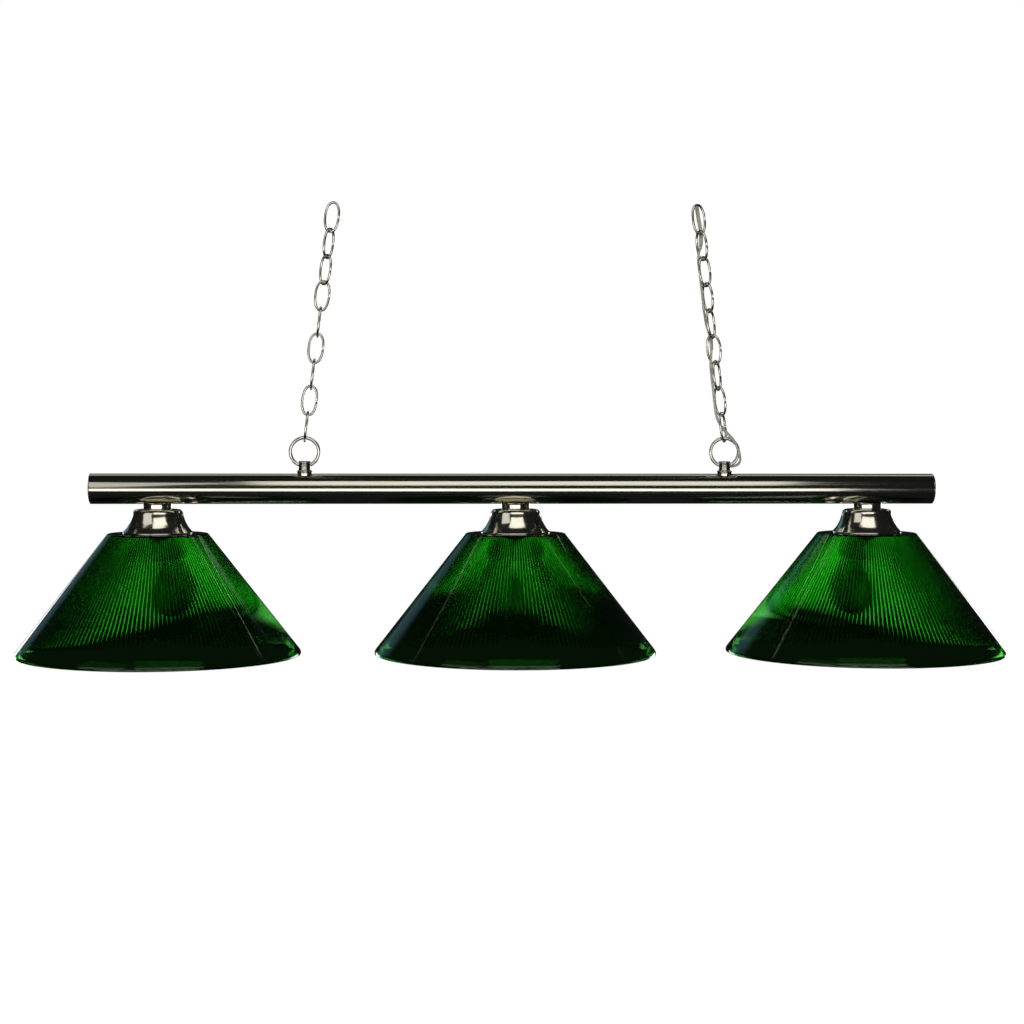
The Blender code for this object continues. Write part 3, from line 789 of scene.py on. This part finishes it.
def socket_outline():
    """A moulded socket with a rib round its cap and a screw thread for the ring on its skirt."""
    root, crest, pitch = 18.9, 19.4, 2.0
    thread = []
    z = -60.2
    while z > -90:
        thread += [(root, z), (crest, z - 0.5), (crest, z - 1.0), (root, z - 1.5)]
        z -= pitch
    cap = [
        (NIPPLE_HOLE, -44), (13.2, -44), (14.0, -44.6), (17.0, -49.5), (17.0, -52.5), (24.6, -52.5),
        (25, -52.9), (25, -55.3), (24.6, -55.6), (crest, -55.6), (crest, -59.8),
    ]
    hollow = [(19.0, -92), (14.2, -92), (14.2, -52.4), (NIPPLE_HOLE, -52.4)]
    return millimetres([*cap, *thread, *hollow])


def shade_ring_outline():
    """The ring under the shade, which the shade rests on."""
    outline = [
        (19.8, -59.3), (26.6, -59.3), (27, -59.7), (27, -62.3), (24.6, -64.0), (21.9, -66.0), (19.8, -66.0),
    ]
    return rounded_loop(millimetres(outline), 0.4 * MM, 2)


RIBS = 168
RIB_STEPS = 6
RIB_DEPTH = 0.62 * MM
RIBBED_ROWS = 14
RIBS_START, RIBS_END = 0.10, 0.985  # as shares of the way up the inside of the cone
SHADE_WALL = 2.6 * MM
SHADE_HOLE = 20.6 * MM
SHADE_TOP_RADIUS = 62.0 * MM


def build_shade_mesh():
    """A polished cone with a flat top, ribbed inside from the top's corner down to the plain rim."""
    height = SHADE_TOP - SHADE_BOTTOM
    top, rim, wall = SHADE_TOP_RADIUS, SHADE_RIM, SHADE_WALL
    slope = (rim - top) / height
    outer = [
        (SHADE_HOLE, 0), (top + 0.2 * MM, 0), (rim - 0.7 * MM, -height + 4.4 * MM), (rim, -height + 2.6 * MM),
        (rim, -height), (rim - 2.9 * MM, -height),
    ]
    outer = rounded(outer, 1.2 * MM, 4)
    across = wall * math.sqrt(1 + slope**2)  # the wall's thickness, measured level
    inner_low = (rim - across - 1.2 * MM, -height + 5.0 * MM)
    inner_high = (top - 0.6 * MM, -wall)
    plain = [0.0, 0.05, 0.085]
    ribbed = [RIBS_START + (RIBS_END - RIBS_START) * i / (RIBBED_ROWS - 1) for i in range(RIBBED_ROWS)]
    cone = [
        (inner_low[0] + (inner_high[0] - inner_low[0]) * t, inner_low[1] + (inner_high[1] - inner_low[1]) * t)
        for t in plain + ribbed
    ]
    inner = cone + [inner_high, (56 * MM, -wall), (SHADE_HOLE, -wall)]
    foot = len(outer) + len(plain)

    def ribs(i, index):
        """Round ribs that rise from nothing at the foot of the ribbed part."""
        if not foot < index < foot + RIBBED_ROWS:
            return 0
        return -RIB_DEPTH * math.sin(math.pi * (i % RIB_STEPS) / RIB_STEPS)

    return lathe("ribbed_shade", outer + inner, RIBS * RIB_STEPS, wave=ribs)


BULB_RADIUS = 30
BULB_MIDDLE = -133.0
BULB_WALL = 1


def bulb_outline():
    """A thin glass ball that narrows to a neck inside the screw base."""
    angles = [math.radians(degrees) for degrees in range(-90, 31, 8)]
    ball = [(BULB_RADIUS * math.cos(a), BULB_MIDDLE + BULB_RADIUS * math.sin(a)) for a in angles]
    neck = [
        (22.6, -111.5), (18.2, -103.5), (15.2, -97.5), (13.6, -92.5), (12.8, -86), (12.4, -80), (12.4, -70),
    ]
    outer = ball + neck
    inner = [(max(0, r - BULB_WALL), z if r > BULB_WALL else z + BULB_WALL) for r, z in reversed(outer)]
    return millimetres(outer + inner)


def bulb_base_outline():
    """The screw base: the button on its end, its rolled thread in rings, and the cup that takes the glass."""
    root, crest, pitch = 12.55, 13.1, 3.2
    thread = []
    z = -60.5
    while z > -77:
        thread += [(crest, z), (crest, z - 0.7), (root, z - 1.7), (root, z - 2.2)]
        z -= pitch
    button = [(0, -53.5), (3.2, -53.6), (4.4, -54.6), (5.2, -55.3), (9.5, -57.4), (12.4, -59.0)]
    cup = [(crest, -79.2), (12.7, -80), (12.45, -79.4), (12.2, -62), (0, -61)]
    return millimetres([*button, *thread, *cup])


KNURL_DEPTH = 0.35 * MM


def knurl(i, index):
    """Grooves all round, two steps wide and two steps apart."""
    return 0 if i % 4 < 2 else -KNURL_DEPTH


def build_lights():
    """The three lights, which are copies of one another."""
    # The spun nickel is painted 1.35 times lighter than the tube's: painted brightness, to look more brightly
    # lit.
    bright = nickel("nickel_spun", (40, 40, 1500), 0.13, 1.35)
    acrylic, black, glass = green_acrylic(), phenolic(), frosted_glass()
    shell = plated("screw_shell", (0.78, 0.76, 0.7), (0.62, 0.6, 0.55), 0.28, 120)
    shade = build_shade_mesh()
    bell = lathe("bell", bell_outline(), 128)
    socket = lathe("socket", socket_outline(), 96)
    ring = lathe("shade_ring", shade_ring_outline(), 96, wave=knurl)
    bulb = lathe("bulb", bulb_outline(), 64)
    base = lathe("bulb_base", bulb_base_outline(), 64)
    for light, x in LIGHTS.items():
        build_collar(light, bright)
        at = Vector((x, 0, AXIS))
        for name, mesh, finish, slot, node, place, body in (
            ("spun_{}_bell", bell, bright, "nickel", "{}_bell", at, "lamp"),
            ("ribbed_{}_shade", shade, acrylic, "acrylic", "{}_shade", Vector((x, 0, SHADE_TOP)), "lamp"),
            ("threaded_{}_socket", socket, black, "phenolic", "{}_socket", at, "lamp"),
            ("knurled_{}_ring", ring, black, "phenolic", "{}_shade_ring", at, "lamp"),
            ("frosted_{}_bulb", bulb, glass, "glass", "{}_bulb_glass", at, "{}_bulb"),
            ("rolled_{}_base", base, shell, "shell", "{}_bulb_base", at, "{}_bulb"),
        ):
            own = mesh.copy()
            own.transform(Matrix.Translation(place))
            add_piece(name.format(light), own, finish, body.format(light), node.format(light))


def repaint_hidden_nodes():
    """Better finishes on the CAD nodes that stay: the fixings and the wiring inside."""
    zinc = plated("zinc_plate", (0.62, 0.63, 0.64), (0.5, 0.5, 0.49), 0.34, 150)
    lead = insulation()
    for name, node in frame["nodes"].items():
        if name.endswith(("_nipple", "_lock_nut", "_loop_nut")):
            finish = zinc
        elif name in ("wire_harness", "front_wire_nut", "rear_wire_nut"):
            finish = lead
        else:
            continue
        node.data.materials.clear()
        node.data.materials.append(finish)


# ---------------------------------------------------------------- the whole lamp

build_camera()
build_cord()
build_studio()
build_links()
brushed = nickel("nickel_tube", (3, 900, 900), 0.12)
# The cast nickel is painted 1.3 times lighter than the tube's: painted brightness, to look more brightly lit.
cast = nickel("nickel_cast", (60, 60, 1200), 0.15, 1.3)
build_tube(brushed)
build_end_caps(cast)
for hanger_side in SIDES:
    build_hanger_loop(hanger_side, cast)
build_lights()
repaint_hidden_nodes()
bpy.context.view_layer.update()
